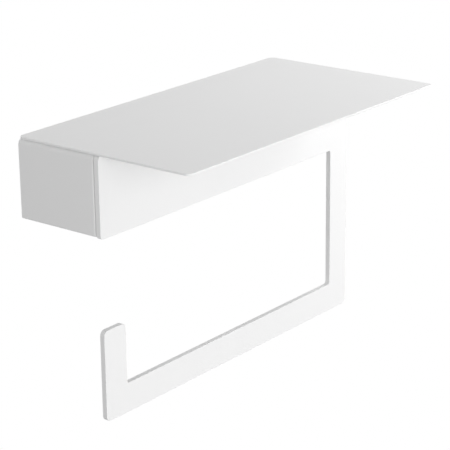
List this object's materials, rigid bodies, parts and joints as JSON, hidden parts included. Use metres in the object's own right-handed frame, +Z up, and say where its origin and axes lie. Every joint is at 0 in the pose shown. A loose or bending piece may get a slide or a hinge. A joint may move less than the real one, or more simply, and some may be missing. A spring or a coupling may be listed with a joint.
{
  "type": "wall shelf with hook plate",
  "caption": "Thin white metal wall shelf on a hollow body with a hidden wall bracket, and a flat plate below that turns into a bar and an upturned tip for a towel or roll.",
  "frame": {"origin": "on the wall plane, midway between the two wall slots of the bracket", "axes": "+X to the right along the wall as seen from the front, +Y into the wall, +Z up; the object stands out towards -Y"},
  "size_m": [0.25, 0.132, 0.168],
  "materials": {
    "white_powder_coat": "matt white powder coat with a fine grain",
    "zinc_plated_steel": "bright zinc plating",
    "nylon": "natural nylon",
    "black_steel": "black oxide on steel"
  },
  "bodies": {
    "root": {"shelf_panel": "white_powder_coat", "hook_plate": "white_powder_coat", "body_shell": "white_powder_coat", "hang_rail": "zinc_plated_steel", "wall_bracket": "zinc_plated_steel", "shelf_stud_1": "zinc_plated_steel", "shelf_stud_2": "zinc_plated_steel", "shelf_stud_3": "zinc_plated_steel", "shelf_stud_4": "zinc_plated_steel", "shelf_washer_1": "zinc_plated_steel", "shelf_washer_2": "zinc_plated_steel", "shelf_washer_3": "zinc_plated_steel", "shelf_washer_4": "zinc_plated_steel", "shelf_nut_1": "zinc_plated_steel", "shelf_nut_2": "zinc_plated_steel", "shelf_nut_3": "zinc_plated_steel", "shelf_nut_4": "zinc_plated_steel", "hook_stud_1": "zinc_plated_steel", "hook_stud_2": "zinc_plated_steel", "hook_stud_3": "zinc_plated_steel", "hook_spacer_1": "nylon", "hook_spacer_2": "nylon", "hook_spacer_3": "nylon", "hook_washer_1": "zinc_plated_steel", "hook_washer_2": "zinc_plated_steel", "hook_washer_3": "zinc_plated_steel", "hook_nut_1": "zinc_plated_steel", "hook_nut_2": "zinc_plated_steel", "hook_nut_3": "zinc_plated_steel", "lock_nut_left": "zinc_plated_steel", "lock_nut_right": "zinc_plated_steel", "lock_screw_left": "black_steel", "lock_screw_right": "black_steel"}
  },
  "joints": []
}
